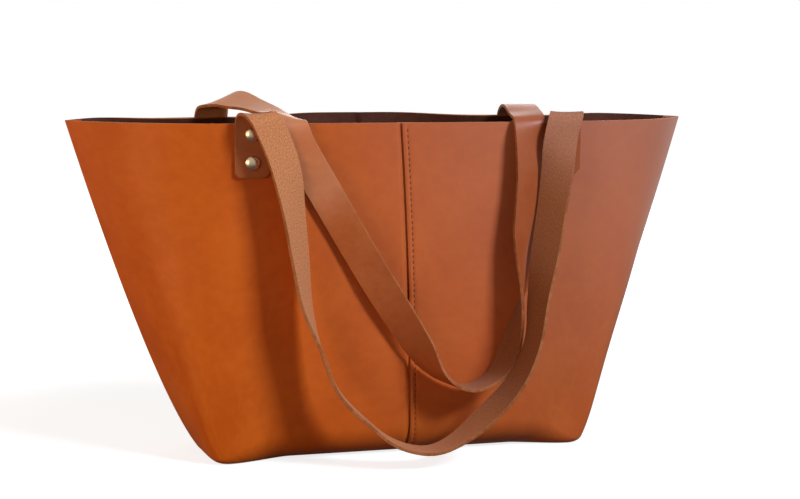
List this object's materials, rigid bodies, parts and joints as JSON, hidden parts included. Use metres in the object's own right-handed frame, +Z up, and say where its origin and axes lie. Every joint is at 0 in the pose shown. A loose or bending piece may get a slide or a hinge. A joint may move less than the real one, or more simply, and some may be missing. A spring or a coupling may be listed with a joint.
{
  "type": "tote bag",
  "caption": "Unlined tan leather tote bag, wide at the mouth and narrow at the base, with lapped centre seams and two riveted strap handles thrown forward over the front.",
  "frame": {"origin": "On the floor under the middle of the box that holds the whole bag with its straps", "axes": "X runs along the rim from the left side seam to the right one as seen from the front, Y from front to back, Z up"},
  "size_m": [0.47, 0.149, 0.2636],
  "materials": {
    "panel_leather": "smooth vegetable tanned full grain outside, raw flesh inside",
    "strap_leather": "smooth grain on one side, suede flesh on the other, raw cut edges",
    "rivet_brass": "polished domed caps"
  },
  "bodies": {
    "bag": {"front_left_panel": "panel_leather", "front_right_panel": "panel_leather", "back_left_panel": "panel_leather", "back_right_panel": "panel_leather", "front_left_upper_rivet_cap": "rivet_brass", "front_left_upper_rivet_post": "rivet_brass", "front_left_lower_rivet_cap": "rivet_brass", "front_left_lower_rivet_post": "rivet_brass", "front_right_upper_rivet_cap": "rivet_brass", "front_right_upper_rivet_post": "rivet_brass", "front_right_lower_rivet_cap": "rivet_brass", "front_right_lower_rivet_post": "rivet_brass", "back_left_upper_rivet_cap": "rivet_brass", "back_left_upper_rivet_post": "rivet_brass", "back_left_lower_rivet_cap": "rivet_brass", "back_left_lower_rivet_post": "rivet_brass", "back_right_upper_rivet_cap": "rivet_brass", "back_right_upper_rivet_post": "rivet_brass", "back_right_lower_rivet_cap": "rivet_brass", "back_right_lower_rivet_post": "rivet_brass", "front_strap_left_tab": "strap_leather", "front_strap_right_tab": "strap_leather", "back_strap_left_tab": "strap_leather", "back_strap_right_tab": "strap_leather", "front_strap_left_fold": "strap_leather", "front_strap_right_fold": "strap_leather", "back_strap_left_turn": "strap_leather", "back_strap_right_turn": "strap_leather"},
    "front_handle": {"front_strap_loop": "strap_leather"},
    "back_handle_span": {"back_strap_left_span": "strap_leather", "back_strap_right_span": "strap_leather", "back_strap_left_bend": "strap_leather", "back_strap_right_bend": "strap_leather"},
    "back_handle_loop": {"back_strap_loop": "strap_leather", "back_strap_right_leg": "strap_leather"}
  },
  "joints": [
    {"name": "front_handle_swing", "type": "hinge", "parent": "bag", "child": "front_handle", "pos_m": [0, -0.0385, 0.2465], "axis": [-1, 0, 0], "range_deg": [0, 180], "deforming": ["front_strap_left_fold", "front_strap_right_fold"]},
    {"name": "back_handle_lift", "type": "hinge", "parent": "bag", "child": "back_handle_span", "pos_m": [0, 0.0225, 0.2535], "axis": [-1, 0, 0], "range_deg": [0, 90], "deforming": ["back_strap_left_turn", "back_strap_right_turn"]},
    {"name": "back_handle_straighten", "type": "hinge", "parent": "back_handle_span", "child": "back_handle_loop", "pos_m": [0, -0.033, 0.242], "axis": [-1, 0, 0], "range_deg": [0, 90], "deforming": ["back_strap_left_bend", "back_strap_right_bend", "back_strap_right_leg"]}
  ],
  "couplings": [
    {"joint": "back_handle_straighten", "follows": "back_handle_lift", "ratio": 1}
  ]
}
